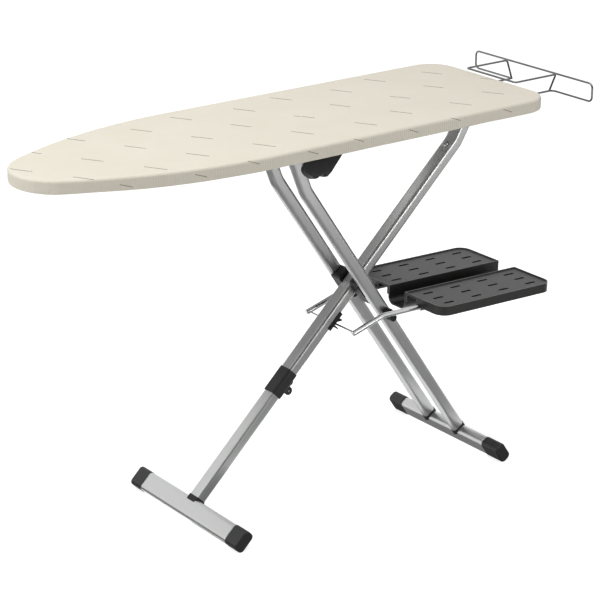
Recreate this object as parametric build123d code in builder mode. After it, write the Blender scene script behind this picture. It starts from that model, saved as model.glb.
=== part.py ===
"""Folding ironing board: padded board, crossed legs, height lever, folding tray and wire iron rest.

The origin is on the floor below the middle of the overall length. +X points to the square rear end
with the iron rest, -X to the nose, +Z up. The single front leg lies in the plane Y = 0.
"""
import os
from math import atan2, cos, degrees, radians, sin, sqrt

from build123d import *

os.makedirs("parts", exist_ok=True)

# Board: driving dimensions in millimetres and degrees
board_length = 1360.0
board_width = 440.0
board_thickness = 33.0
board_height = 938.5
waist_setback = 833.0
side_radius = 985.0
rear_corner_radius = 70.0
cover_wall = 1.6
cover_edge_radius = 10.0
hem_width = 22.0
soft_gap = 0.3
pad_height = 8.0
deck_wall = 1.0
rim_gap = 1.5
mesh_pitch_x = 84.0
mesh_pitch_y = 62.0
mesh_hole_length = 46.0
mesh_hole_width = 26.0
mesh_margin = 42.0

# Crossed legs: where they cross and how they lean
cross_setback = 437.0
cross_height = 495.5
front_lean = 43.8
rear_lean = 55.9
front_bend = 15.0
rear_bend = 13.0
top_offset = 27.2
hinge_drop = 19.5
bend_radius = 70.0
top_overrun = 10.0
tube_wall = 1.2
running_gap = 0.05
slip_gap = 0.25
clear_gap = 0.5

# Front leg: outer tube, telescopic inner tube and their collar
front_tube_width = 38.5
front_tube_depth = 30.5
front_tube_round = 7.0
inner_tube_width = front_tube_width - 2 * (tube_wall + slip_gap)
inner_tube_depth = front_tube_depth - 2 * (tube_wall + slip_gap)
inner_tube_round = front_tube_round - tube_wall - slip_gap
inner_tube_engagement = 78.0
collar_top = 271.0
collar_length = 71.0
collar_seat = 60.0
collar_wall = 1.4
guide_plug_length = 16.0
gasket_height = 5.0
gasket_wall = 1.6

# Rear leg: two flat-sided oval tubes
rear_tube_depth = 35.5
rear_tube_width = 20.0
rear_tube_spacing = 114.0
ring_height = 3.0
ring_wall = 1.2

# Foot bars and their end caps
foot_long = 51.0
foot_short = 30.0
foot_round = 10.0
front_foot_half = 181.0
rear_foot_half = 161.0
cap_length = 43.5
rear_cap_length = 51.0
cap_proud = 0.8
cap_end_round = 4.5
plug_length = 16.0
floor_flat = 0.8
leveller_socket_length = 32.0
leveller_length = 24.0

# Pins, axle and the guide rails under the deck
pin_radius = 5.0
small_pin_radius = 2.5
bush_radius = 8.0
slide_bush_radius = 8.0
slide_bush_width = 15.0
rail_wall = 2.0
rail_gap = 3.0
rail_end_room = 6.0
hanger_width = 22.0
bracket_wall = 2.5
bracket_base = 70.0
pin_head_height = 3.0

# Height lever on its shaft along the near side
lever_shaft_radius = 4.0
lever_shaft_out = 124.0
lever_shaft_drop = 14.0
lever_length = 117.0
lever_reach = 62.0
lever_droop = 60.0
lever_thickness = 9.0
lever_lip = 10.0
lever_hub_radius = 8.0
lever_overhang = 24.0
lever_slant = 82.0
lever_setback = 614.5

# Tray on its bent arms
tray_setback = 383.0
tray_pivot_height = 427.0
tray_tilt = 1.84
tray_front = 86.0
tray_length = 367.0
tray_width = 346.0
tray_skirt = 24.0
tray_top = 20.6
tray_wall = 3.0
tray_recess = 3.0
tray_corner = 30.0
trough_width = 60.0
trough_depth = 47.5
trough_round = 16.0
leg_notch_width = 36.0
leg_notch_cover = 5.5
slot_length = 33.0
slot_width = 9.0
slot_depth = 2.2
slot_pitch_x = 90.0
slot_pitch_y = 40.0
arm_radius = 6.75
arm_spacing = 184.0
arm_bend_ahead = 34.0
arm_hold = 110.0
arm_boss_wall = 3.0
rod_radius = 2.5
rod_along = 111.3
rod_below = 20.3

# Iron rest: chrome wire in two welded bends
rest_reach = 138.0
wire_radius = 2.5
wire_bend = 12.0
rest_inset = 3.0
rest_rail_rise = 7.0
rest_arm_drop = 5.0
rest_arm_spacing = 148.0
cradle_width = 180.0
cradle_overlap = 5.0
cradle_bend = 6.0
weld_gap = 0.2
socket_length = 120.0
socket_setback = 30.0
socket_width = 14.0

# Places worked out from the sizes above
x_rear = (board_length - rest_reach) / 2
x_nose = x_rear - board_length
x_waist = x_rear - waist_setback
half_width = board_width / 2
nose_run = x_waist - x_nose
side_sagitta = side_radius - half_width
nose_radius = (side_radius**2 - nose_run**2 - side_sagitta**2) / (2 * (side_radius - nose_run))
x_nose_centre = x_nose + nose_radius
nose_turn = degrees(atan2(nose_run - nose_radius, side_radius - half_width))
cover_bottom = board_height - board_thickness
deck_top = board_height - cover_wall - 2 * soft_gap - pad_height
deck_bottom = cover_bottom + cover_wall + soft_gap
deck_inset = cover_wall + rim_gap
deck_underside = deck_top - deck_wall

front = radians(front_lean)
rear = radians(rear_lean)
front_down = Vector(-cos(front), 0, -sin(front))
front_under = Vector(sin(front), 0, -cos(front))
rear_down = Vector(cos(rear), 0, -sin(rear))
rear_over = Vector(sin(rear), 0, cos(rear))
cross = Vector(x_rear - cross_setback, 0, cross_height)
across = Vector(0, 1, 0)
towards_near = Vector(0, -1, 0)

hinge_height = cover_bottom - hinge_drop
front_tip = top_offset / sin(radians(front_bend))
rear_tip = top_offset / sin(radians(rear_bend))
front_tip_up = Vector(cos(front + radians(front_bend)), 0, sin(front + radians(front_bend)))
rear_tip_up = Vector(-cos(rear + radians(rear_bend)), 0, sin(rear + radians(rear_bend)))
front_bend_up = (hinge_height - cross_height - front_tip * front_tip_up.Z) / sin(front)
rear_bend_up = (hinge_height - cross_height - rear_tip * rear_tip_up.Z) / sin(rear)
front_bend_point = cross - front_down * front_bend_up
rear_bend_point = cross - rear_down * rear_bend_up
hinge = front_bend_point + front_tip_up * front_tip
axle = rear_bend_point + rear_tip_up * rear_tip


def axle_place(share):
    """Where the rear leg's axle stands at a share of the fold, 0 upright and 1 flat."""
    front_turn = radians(front_lean) * share
    rear_turn = radians(rear_lean) * share
    to_cross = (cross - hinge).rotate(Axis.Y, degrees(front_turn))
    to_axle = (axle - cross).rotate(Axis.Y, -degrees(rear_turn))
    return hinge + to_cross + to_axle


axle_travel = [axle_place(step / 20) for step in range(21)]
axle_rise = max(place.Z for place in axle_travel) - axle.Z
axle_front = min(place.X for place in axle_travel)

front_section = Plane(origin=cross, x_dir=across, z_dir=front_down)
front_side = Plane(origin=cross, x_dir=front_down, z_dir=towards_near)
rear_side = Plane(origin=cross, x_dir=rear_down, z_dir=towards_near)


def side_plane(place):
    """A plane across the board at a place, drawn as seen from the near side."""
    return Plane(origin=place, x_dir=(1, 0, 0), z_dir=towards_near)


def board_half_width(x):
    """Half the board's width at a place along its length."""
    if x > x_waist:
        return half_width
    tangent_x = x_waist - side_radius * sin(radians(nose_turn))
    if x > tangent_x:
        return half_width - side_radius + sqrt(side_radius**2 - (x_waist - x) ** 2)
    return sqrt(max(nose_radius**2 - (x - x_nose_centre) ** 2, 0))


def board_outline(inset):
    """The board's closed outline as a sketch, pulled in by an inset."""
    corner_x = x_rear - rear_corner_radius
    corner_y = half_width - rear_corner_radius
    with BuildSketch() as outline:
        with BuildLine():
            Line((x_rear - inset, 0), (x_rear - inset, corner_y))
            CenterArc((corner_x, corner_y), rear_corner_radius - inset, 0, 90)
            Line((corner_x, half_width - inset), (x_waist, half_width - inset))
            CenterArc((x_waist, half_width - side_radius), side_radius - inset, 90, nose_turn)
            CenterArc((x_nose_centre, 0), nose_radius - inset, 90 + nose_turn, 90 - nose_turn)
            mirror(about=Plane.XZ)
        make_face()
    return outline.sketch


# Cotton cover: a thin skin over the pad, its hem turned in under the deck's rim
with BuildPart() as cover_hollow:
    with BuildSketch(Plane.XY.offset(cover_bottom + cover_wall)):
        add(board_outline(cover_wall))
    extrude(amount=board_thickness - 2 * cover_wall)
    fillet(cover_hollow.faces().sort_by(Axis.Z)[-1].edges(), cover_edge_radius - cover_wall)

with BuildPart() as cover:
    with BuildSketch(Plane.XY.offset(cover_bottom)):
        add(board_outline(0))
    extrude(amount=board_thickness)
    fillet(cover.faces().sort_by(Axis.Z)[-1].edges(), cover_edge_radius)
    add(cover_hollow.part, mode=Mode.SUBTRACT)
    with BuildSketch(Plane.XY.offset(cover_bottom)):
        add(board_outline(hem_width))
    extrude(amount=cover_wall, mode=Mode.SUBTRACT)
cover.part.label = "cover"
export_step(cover.part, "parts/cover.step")

# Foam pad between cover and deck, with a rounded top edge
with BuildPart() as pad:
    pad_inset = cover_wall + 2 * soft_gap
    with BuildSketch(Plane.XY.offset(deck_top + soft_gap)):
        add(board_outline(pad_inset))
    extrude(amount=pad_height)
    pad_round = min(cover_edge_radius - pad_inset, pad_height - soft_gap)
    fillet(pad.faces().sort_by(Axis.Z)[-1].edges(), pad_round)
pad.part.label = "pad"
export_step(pad.part, "parts/pad.step")

# Steel deck: a shallow pan with a turned-down rim and a mesh of steam openings
mesh_places = []
mesh_columns = int(board_length / mesh_pitch_x * 2)
mesh_rows = int(board_width / mesh_pitch_y) + 1
for column in range(1, mesh_columns):
    mesh_x = x_rear - column * mesh_pitch_x / 2
    for row in range(-mesh_rows, mesh_rows + 1):
        mesh_y = (row + 0.5 * (column % 2)) * mesh_pitch_y
        room = min(board_half_width(mesh_x - mesh_hole_length), board_half_width(mesh_x))
        if abs(mesh_y) + mesh_margin < room and mesh_x - mesh_margin > x_nose:
            mesh_places.append((mesh_x - mesh_margin / 2, mesh_y))

with BuildPart() as deck:
    with BuildSketch(Plane.XY.offset(deck_bottom)):
        add(board_outline(deck_inset))
    extrude(amount=deck_top - deck_bottom)
    with BuildSketch(Plane.XY.offset(deck_bottom)):
        add(board_outline(deck_inset + deck_wall))
    extrude(amount=deck_underside - deck_bottom, mode=Mode.SUBTRACT)
    with BuildSketch(Plane.XY.offset(deck_top)):
        with Locations(*mesh_places):
            Polygon(
                (-mesh_hole_length / 2, 0),
                (0, -mesh_hole_width / 2),
                (mesh_hole_length / 2, 0),
                (0, mesh_hole_width / 2),
            )
    extrude(amount=-deck_wall, mode=Mode.SUBTRACT)
deck.part.label = "deck"
export_step(deck.part, "parts/deck.step")

# Hinge bracket of the front leg: a base plate under the deck with two ears
ear_inside = front_tube_width / 2 + clear_gap
ear_radius = pin_radius + 6.0
ear_top = deck_underside - bracket_wall - hinge.Z
with BuildPart() as hinge_bracket:
    with BuildSketch(Plane.XY.offset(deck_underside - bracket_wall)):
        with Locations((hinge.X, 0)):
            RectangleRounded(bracket_base, bracket_base, bracket_base / 8)
    extrude(amount=bracket_wall)
    for ear_start in (ear_inside, -ear_inside - bracket_wall):
        with BuildSketch(side_plane(hinge).offset(ear_start)):
            Circle(ear_radius)
            Polygon(
                (-ear_radius, 0),
                (ear_radius, 0),
                (bracket_base * 0.4, ear_top),
                (-bracket_base * 0.4, ear_top),
                align=None,
            )
            Circle(pin_radius, mode=Mode.SUBTRACT)
        extrude(amount=bracket_wall)
hinge_bracket.part.label = "hinge_bracket"
export_step(hinge_bracket.part, "parts/hinge_bracket.step")

# Riveted pin that carries the front leg in the bracket
hinge_pin_half = ear_inside + bracket_wall
with BuildPart() as hinge_pin:
    with BuildSketch(side_plane(hinge)):
        Circle(pin_radius)
    extrude(amount=hinge_pin_half, both=True)
    with BuildSketch(side_plane(hinge).offset(hinge_pin_half)):
        Circle(pin_radius + pin_head_height)
    extrude(amount=pin_head_height)
    with BuildSketch(side_plane(hinge).offset(-hinge_pin_half)):
        Circle(pin_radius + pin_head_height)
    extrude(amount=-pin_head_height)
    fillet(hinge_pin.faces().sort_by(Axis.Y)[-1].edges(), pin_head_height * 0.6)
    fillet(hinge_pin.faces().sort_by(Axis.Y)[0].edges(), pin_head_height * 0.6)
hinge_pin.part.label = "hinge_pin"
export_step(hinge_pin.part, "parts/hinge_pin.step")

# Guide rails: two channels in which the rear leg's axle runs while the board folds
rail_inner = rear_tube_spacing / 2 + rear_tube_width / 2 + rail_gap
rail_floor = axle.Z - slide_bush_radius - clear_gap
rail_roof = axle.Z + axle_rise + slide_bush_radius + clear_gap
rail_outer = rail_inner + slide_bush_width + 2 * clear_gap + rail_wall
rail_rear_end = axle.X + slide_bush_radius + rail_end_room
rail_length = rail_rear_end - axle_front + slide_bush_radius + rail_end_room
rail_mid = (rail_floor + rail_roof) / 2
rail_end = Plane(origin=(rail_rear_end - rail_length, 0, 0), x_dir=across, z_dir=(1, 0, 0))
latch_window = 26.0
for side, side_name in ((1, "far"), (-1, "near")):
    with BuildPart() as guide_rail:
        with BuildSketch(rail_end):
            with Locations((side * (rail_inner + rail_outer) / 2, rail_mid)):
                Rectangle(rail_outer - rail_inner, rail_roof - rail_floor + 2 * rail_wall)
            with Locations((side * (rail_inner + rail_outer - rail_wall) / 2, rail_mid)):
                Rectangle(rail_outer - rail_inner - rail_wall, rail_roof - rail_floor, mode=Mode.SUBTRACT)
        extrude(amount=rail_length)
        with Locations((axle.X, side * (rail_outer - rail_wall / 2), axle.Z)):
            Box(latch_window, 3 * rail_wall, 3 * slide_bush_radius, mode=Mode.SUBTRACT)
    guide_rail.part.label = "guide_rail_" + side_name
    export_step(guide_rail.part, f"parts/guide_rail_{side_name}.step")

# Pressed hangers that carry the rails below the deck
hanger_top = deck_underside
hanger_bottom = rail_roof + rail_wall
hanger_places = [rail_rear_end - rail_length * share for share in (0.15, 0.5, 0.85)]
with BuildPart() as rail_hangers:
    for hanger_x in hanger_places:
        for side in (1, -1):
            hanger_y = side * (rail_inner + rail_outer) / 2
            with Locations((hanger_x, hanger_y, (hanger_top + hanger_bottom) / 2)):
                Box(hanger_width, rail_outer - rail_inner, hanger_top - hanger_bottom)
                Box(
                    2 * hanger_width,
                    rail_outer - rail_inner - 2 * rail_wall,
                    hanger_top - hanger_bottom - 2 * rail_wall,
                    mode=Mode.SUBTRACT,
                )
rail_hangers.part.label = "rail_hangers"
export_step(rail_hangers.part, "parts/rail_hangers.step")

# Height lever: a shaft along the near side with its brackets, the moulded paddle and the latch arm
lever_x = x_rear - lever_setback
lever_shaft = Vector(lever_x, -lever_shaft_out, cover_bottom - lever_shaft_drop)
lever_side = Plane(origin=lever_shaft, x_dir=towards_near, z_dir=(-1, 0, 0))
latch_shift = lever_x - axle.X
lever_half = lever_length / 2
shaft_half = lever_half + clear_gap + bracket_wall + pin_head_height
with BuildPart() as lever_shaft_rod:
    with BuildSketch(lever_side.offset(-shaft_half)):
        Circle(lever_shaft_radius)
    extrude(amount=2 * shaft_half)
lever_shaft_rod.part.label = "lever_shaft"
export_step(lever_shaft_rod.part, "parts/lever_shaft.step")

lever_bracket_top = deck_underside - lever_shaft.Z
with BuildPart() as lever_brackets:
    for bracket_start in (lever_half + clear_gap, -lever_half - clear_gap - bracket_wall):
        with BuildSketch(lever_side.offset(bracket_start)):
            Circle(lever_hub_radius)
            with Locations((0, 0)):
                Rectangle(2 * lever_hub_radius, lever_bracket_top, align=(Align.CENTER, Align.MIN))
            Circle(lever_shaft_radius + running_gap, mode=Mode.SUBTRACT)
        extrude(amount=bracket_wall)
        with BuildSketch(lever_side.offset(bracket_start)):
            with Locations((0, lever_bracket_top)):
                Rectangle(3 * lever_hub_radius, bracket_wall, align=(Align.CENTER, Align.MAX))
        extrude(amount=bracket_wall * 5 if bracket_start > 0 else -bracket_wall * 4)
lever_brackets.part.label = "lever_brackets"
export_step(lever_brackets.part, "parts/lever_brackets.step")

droop = radians(lever_droop)
paddle_out = lever_reach * cos(droop)
paddle_down = -lever_reach * sin(droop)
paddle_face = Plane(origin=lever_shaft, x_dir=(1, 0, 0), z_dir=(0, -sin(droop), cos(droop)))
lever_tip = lever_half - lever_slant
lever_front = -lever_half - lever_overhang
with BuildPart() as lever_handle:
    with BuildSketch(lever_side.offset(-lever_half)):
        Circle(lever_hub_radius)
        with BuildLine():
            Polyline(
                (-lever_hub_radius * sin(droop), -lever_hub_radius * cos(droop)),
                (paddle_out - lever_lip, paddle_down),
                (paddle_out, paddle_down),
                (paddle_out + lever_lip / 3, paddle_down + lever_lip),
                (lever_hub_radius * sin(droop), lever_hub_radius * cos(droop)),
                close=True,
            )
        make_face()
        Circle(lever_shaft_radius, mode=Mode.SUBTRACT)
    extrude(amount=lever_length + lever_overhang)
    with BuildSketch(lever_side.offset(latch_shift - lever_thickness / 2 - clear_gap)):
        Circle(lever_hub_radius + clear_gap)
    extrude(amount=lever_thickness + 2 * clear_gap, mode=Mode.SUBTRACT)
    fillet(lever_handle.edges().filter_by(Axis.X).group_by(Axis.Y)[0], lever_thickness / 4)
    with BuildSketch(paddle_face):
        with BuildLine():
            Polyline(
                (-lever_half, 2 * lever_hub_radius),
                (lever_half, 2 * lever_hub_radius),
                (lever_half, 0),
                (lever_tip, -lever_reach - 1),
                (lever_tip - 9, -lever_reach + 1),
                (lever_tip - 15, -lever_reach + 7),
                (lever_tip - 21, -lever_reach + 5),
                (lever_tip - 27, -lever_reach + 1),
            )
            Spline(
                (lever_tip - 27, -lever_reach + 1),
                (lever_front + 9, -lever_reach + 10),
                (lever_front, -lever_reach + 27),
                (lever_front + 10, -lever_reach + 41),
                (-lever_half, -lever_hub_radius),
            )
            Line((-lever_half, -lever_hub_radius), (-lever_half, 2 * lever_hub_radius))
        make_face()
    extrude(amount=lever_reach, both=True, mode=Mode.INTERSECT)
lever_handle.part.label = "lever_handle"
export_step(lever_handle.part, "parts/lever_handle.step")

latch_in = -(lever_shaft_out - rail_outer + rail_wall - clear_gap / 2)
latch_drop = axle.Z - lever_shaft.Z
latch_half = slide_bush_radius / 2 - clear_gap
with BuildPart() as latch_arm:
    with BuildSketch(lever_side.offset(latch_shift - lever_thickness / 2)):
        Circle(lever_hub_radius)
        Polygon(
            (-lever_hub_radius * 0.4, lever_hub_radius * 0.8),
            (latch_in, latch_drop + latch_half),
            (latch_in, latch_drop - latch_half),
            (-lever_hub_radius * 0.6, -lever_hub_radius * 0.6),
            align=None,
        )
        Circle(lever_shaft_radius, mode=Mode.SUBTRACT)
    extrude(amount=lever_thickness)
latch_arm.part.label = "latch_arm"
export_step(latch_arm.part, "parts/latch_arm.step")

# Front leg's outer tube with its bent top, bush, pin holes and the lock slot
front_tube_end = collar_top + collar_seat
front_top = hinge + front_tip_up * top_overrun
lock_along = collar_top + collar_length * 0.3
lock_slot_length = 4.8 * small_pin_radius
lock_slot_width = 2.3 * small_pin_radius


def on_front_leg(along, below):
    """A place by its distance down the front leg from the crossing and its depth below the axis."""
    return cross + front_down * along + front_under * below


lock_plane = Plane(origin=on_front_leg(lock_along, 0), x_dir=front_down, z_dir=front_under)
with BuildPart() as front_leg_tube:
    with BuildLine():
        FilletPolyline(front_top, front_bend_point, on_front_leg(front_tube_end, 0), radius=bend_radius)
    with BuildSketch(Plane(origin=front_top, x_dir=across, z_dir=-front_tip_up)):
        RectangleRounded(front_tube_width, front_tube_depth, front_tube_round)
        RectangleRounded(
            front_tube_width - 2 * tube_wall,
            front_tube_depth - 2 * tube_wall,
            front_tube_round - tube_wall,
            mode=Mode.SUBTRACT,
        )
    sweep()
    with BuildSketch(side_plane(cross)):
        Circle(pin_radius + running_gap)
    extrude(amount=front_tube_width, both=True, mode=Mode.SUBTRACT)
    with BuildSketch(side_plane(hinge)):
        Circle(bush_radius)
    extrude(amount=front_tube_width, both=True, mode=Mode.SUBTRACT)
    with BuildSketch(lock_plane):
        SlotOverall(lock_slot_length, lock_slot_width)
    extrude(amount=front_tube_depth, mode=Mode.SUBTRACT)
front_leg_tube.part.label = "front_leg_tube"
export_step(front_leg_tube.part, "parts/front_leg_tube.step")

with BuildPart() as hinge_bush:
    with BuildSketch(side_plane(hinge)):
        Circle(bush_radius)
        Circle(pin_radius + running_gap, mode=Mode.SUBTRACT)
    extrude(amount=front_tube_width / 2, both=True)
hinge_bush.part.label = "hinge_bush"
export_step(hinge_bush.part, "parts/hinge_bush.step")

# Dome stud on the upper face, just below the bend
stud_along = -(front_bend_up - 20.0)
stud_radius = 8.5
stud_height = 6.0
stud_base = on_front_leg(stud_along, -front_tube_depth / 2)
with BuildPart() as dome_stud:
    with BuildSketch(Plane(origin=stud_base, x_dir=front_down, z_dir=-front_under)):
        Circle(stud_radius)
    extrude(amount=stud_height)
    stud_top = dome_stud.faces().sort_by(Axis(stud_base, -front_under))[-1]
    fillet(stud_top.edges(), stud_height * 0.85)
dome_stud.part.label = "dome_stud"
export_step(dome_stud.part, "parts/dome_stud.step")

# Collar that holds the outer tube's end and guides the inner tube, with ears for the trigger
collar_width = front_tube_width + 2 * collar_wall
collar_depth = front_tube_depth + 2 * collar_wall
trigger_along = collar_top + collar_length * 0.57
trigger_below = collar_depth / 2 + 11.0
trigger_half = 9.0
ear_wall = 3.0
hub_radius = 10.5
with BuildPart() as collar:
    with BuildSketch(front_section.offset(collar_top)):
        RectangleRounded(collar_width, collar_depth, front_tube_round + collar_wall - 1)
    extrude(amount=collar_length)
    chamfer(collar.faces().sort_by(Axis.Z)[-1].edges(), collar_wall / 3)
    ear_height = trigger_below - collar_depth / 2 + 1
    for ear_start in (trigger_half + clear_gap, -trigger_half - clear_gap - ear_wall):
        with BuildSketch(front_side.offset(ear_start)):
            with Locations((trigger_along, trigger_below)):
                Circle(hub_radius)
                Rectangle(2 * hub_radius, ear_height, align=(Align.CENTER, Align.MAX))
                Circle(small_pin_radius, mode=Mode.SUBTRACT)
        extrude(amount=ear_wall)
    with BuildSketch(front_section.offset(collar_top)):
        RectangleRounded(front_tube_width, front_tube_depth, front_tube_round)
    extrude(amount=collar_seat, mode=Mode.SUBTRACT)
    with BuildSketch(front_section.offset(collar_top)):
        RectangleRounded(
            inner_tube_width + 2 * slip_gap,
            inner_tube_depth + 2 * slip_gap,
            inner_tube_round + slip_gap,
        )
    extrude(amount=collar_length, mode=Mode.SUBTRACT)
    panel_place = on_front_leg(collar_top + collar_length / 2, -collar_depth / 2)
    with BuildSketch(Plane(origin=panel_place, x_dir=front_down, z_dir=-front_under)):
        RectangleRounded(collar_length * 0.72, front_tube_width * 0.72, 4.0)
    extrude(amount=-collar_wall / 3, mode=Mode.SUBTRACT)
    with BuildSketch(lock_plane):
        SlotOverall(lock_slot_length, lock_slot_width)
    extrude(amount=collar_depth, mode=Mode.SUBTRACT)
collar.part.label = "collar"
export_step(collar.part, "parts/collar.step")

trigger_place = on_front_leg(trigger_along, trigger_below)
trigger_plane = Plane(origin=trigger_place, x_dir=front_down, z_dir=towards_near)
with BuildPart() as trigger_pin:
    with BuildSketch(trigger_plane):
        Circle(small_pin_radius)
    extrude(amount=trigger_half + clear_gap + ear_wall, both=True)
trigger_pin.part.label = "trigger_pin"
export_step(trigger_pin.part, "parts/trigger_pin.step")

# Release trigger under the collar and the lock pin it draws out
tongue_face = collar_depth / 2 + 4.0
tongue_y = tongue_face - trigger_below
lock_x = lock_along - trigger_along
with BuildPart() as leg_trigger:
    with BuildSketch(trigger_plane):
        Circle(hub_radius - clear_gap)
        with BuildLine():
            Polyline(
                (0, 1.2 - hub_radius),
                (lock_x + 7.0, tongue_y),
                (lock_x - 8.0, tongue_y),
                (lock_x - 8.0, tongue_y + 2.5),
                (lock_x - 3.5, tongue_y + 6.0),
                (lock_x + 3.5, tongue_y + 6.0),
                (lock_x + 9.0, tongue_y + 3.5),
                (0, hub_radius - 3.0),
                close=True,
            )
        make_face()
        Circle(small_pin_radius + running_gap, mode=Mode.SUBTRACT)
    extrude(amount=trigger_half, both=True)
leg_trigger.part.label = "leg_trigger"
export_step(leg_trigger.part, "parts/leg_trigger.step")

with BuildPart() as lock_pin:
    with BuildSketch(lock_plane.offset(inner_tube_depth / 2 + 2 * clear_gap)):
        Circle(small_pin_radius)
    extrude(amount=tongue_face - inner_tube_depth / 2 - 2 * clear_gap)
lock_pin.part.label = "lock_pin"
export_step(lock_pin.part, "parts/lock_pin.step")

# Fork clip under the front leg that takes the tray's rod
fork_base = 1.8
fork_half = 13.0
with BuildPart() as rod_fork:
    with BuildSketch(front_side.offset(-fork_half)):
        with BuildLine():
            Polyline(
                (rod_along - 27.0, front_tube_depth / 2),
                (rod_along + 23.0, front_tube_depth / 2),
                (rod_along + 20.0, front_tube_depth / 2 + fork_base),
                (rod_along + rod_radius + 5.0, front_tube_depth / 2 + fork_base),
                (rod_along + rod_radius + 3.6, rod_below + 12.0),
                (rod_along + rod_radius + 0.8, rod_below + 12.0),
                (rod_along + rod_radius + 0.8, front_tube_depth / 2 + fork_base),
                (rod_along - rod_radius - 4.0, front_tube_depth / 2 + fork_base),
                (rod_along - rod_radius - 4.0, rod_below + 3.5),
                (rod_along - rod_radius - 7.5, rod_below + 3.5),
                (rod_along - rod_radius - 9.0, front_tube_depth / 2 + fork_base),
                (rod_along - 24.0, front_tube_depth / 2 + fork_base),
                close=True,
            )
        make_face()
    extrude(amount=2 * fork_half)
rod_fork.part.label = "rod_fork"
export_step(rod_fork.part, "parts/rod_fork.step")

# Foot bars: rounded rectangular tubes that lie along the lean of their leg
cap_long = foot_long + 2 * cap_proud
cap_short = foot_short + 2 * cap_proud
cap_round = foot_round + cap_proud
plug_long = foot_long - 2 * tube_wall
plug_short = foot_short - 2 * tube_wall
plug_round = foot_round - tube_wall
plug_wall = 1.5 * tube_wall
plug_hollow_long = plug_long - 2 * plug_wall
plug_hollow_short = plug_short - 2 * plug_wall


def foot_centre_height(lean):
    """Height of a foot bar's centre with its caps standing on the floor."""
    straight = (cap_long / 2 - cap_round) * sin(lean) + (cap_short / 2 - cap_round) * cos(lean)
    return straight + cap_round - floor_flat


front_foot_along = (cross_height - foot_centre_height(front)) / sin(front)
rear_foot_along = (cross_height - foot_centre_height(rear)) / sin(rear)
front_foot_plane = Plane(origin=on_front_leg(front_foot_along, 0), x_dir=front_down, z_dir=towards_near)
rear_foot_plane = Plane(origin=cross + rear_down * rear_foot_along, x_dir=rear_down, z_dir=towards_near)


def foot_bar(foot_plane, half_length, hollow):
    """A foot bar, as a tube or as the full solid that other pieces are cut against."""
    with BuildPart() as bar:
        with BuildSketch(foot_plane):
            RectangleRounded(foot_long, foot_short, foot_round)
            if hollow:
                RectangleRounded(plug_long, plug_short, plug_round, mode=Mode.SUBTRACT)
        extrude(amount=half_length, both=True)
    return bar.part


def foot_cap(foot_plane, start, length, side):
    """A moulded end cap with its plug, cut flat on the floor. Side is 1 near and -1 far."""
    with BuildPart() as cap:
        with BuildSketch(foot_plane.offset(side * start)):
            RectangleRounded(cap_long, cap_short, cap_round)
        extrude(amount=side * length)
        outer_end = cap.faces().sort_by(Axis.Y)[0 if side > 0 else -1]
        fillet(outer_end.edges(), cap_end_round)
        with BuildSketch(foot_plane.offset(side * (start - plug_length))):
            RectangleRounded(plug_long, plug_short, plug_round)
        extrude(amount=side * plug_length)
        with BuildSketch(foot_plane.offset(side * (start - plug_length))):
            RectangleRounded(plug_hollow_long, plug_hollow_short, plug_round - plug_wall)
        extrude(amount=side * (plug_length + length - cap_end_round), mode=Mode.SUBTRACT)
        with Locations((foot_plane.origin.X, -side * start, -cap_long)):
            Box(3 * cap_long, 4 * length, 2 * cap_long, mode=Mode.SUBTRACT)
    return cap.part


front_foot = foot_bar(front_foot_plane, front_foot_half, True)
front_foot.label = "front_foot"
export_step(front_foot, "parts/front_foot.step")
rear_foot = foot_bar(rear_foot_plane, rear_foot_half, True)
rear_foot.label = "rear_foot"
export_step(rear_foot, "parts/rear_foot.step")

front_cap_far = foot_cap(front_foot_plane, front_foot_half, cap_length, -1)
front_cap_far.label = "front_cap_far"
export_step(front_cap_far, "parts/front_cap_far.step")
front_cap_near = foot_cap(front_foot_plane, front_foot_half, cap_length, 1)
front_cap_near.label = "front_cap_near"
export_step(front_cap_near, "parts/front_cap_near.step")
rear_cap_far = foot_cap(rear_foot_plane, rear_foot_half, rear_cap_length, -1)
rear_cap_far.label = "rear_cap_far"
export_step(rear_cap_far, "parts/rear_cap_far.step")

# Telescopic inner tube, its guide plug in the outer tube and the gasket on the foot bar
inner_tube_top = front_tube_end - inner_tube_engagement
foot_face = front_foot_along - foot_long / 2
with BuildPart() as inner_leg_tube:
    with BuildSketch(front_section.offset(inner_tube_top)):
        RectangleRounded(inner_tube_width, inner_tube_depth, inner_tube_round)
        RectangleRounded(
            inner_tube_width - 2 * tube_wall,
            inner_tube_depth - 2 * tube_wall,
            inner_tube_round - tube_wall,
            mode=Mode.SUBTRACT,
        )
    extrude(amount=foot_face + foot_round - inner_tube_top)
    add(foot_bar(front_foot_plane, front_foot_half, False), mode=Mode.SUBTRACT)
inner_leg_tube.part.label = "inner_leg_tube"
export_step(inner_leg_tube.part, "parts/inner_leg_tube.step")

with BuildPart() as guide_plug:
    with BuildSketch(front_section.offset(inner_tube_top - guide_plug_length)):
        RectangleRounded(
            front_tube_width - 2 * tube_wall - 2 * slip_gap,
            front_tube_depth - 2 * tube_wall - 2 * slip_gap,
            front_tube_round - tube_wall - slip_gap,
        )
    extrude(amount=guide_plug_length)
    with BuildSketch(front_section.offset(inner_tube_top)):
        RectangleRounded(
            inner_tube_width - 2 * tube_wall,
            inner_tube_depth - 2 * tube_wall,
            inner_tube_round - tube_wall,
        )
    extrude(amount=guide_plug_length)
guide_plug.part.label = "guide_plug"
export_step(guide_plug.part, "parts/guide_plug.step")

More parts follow.
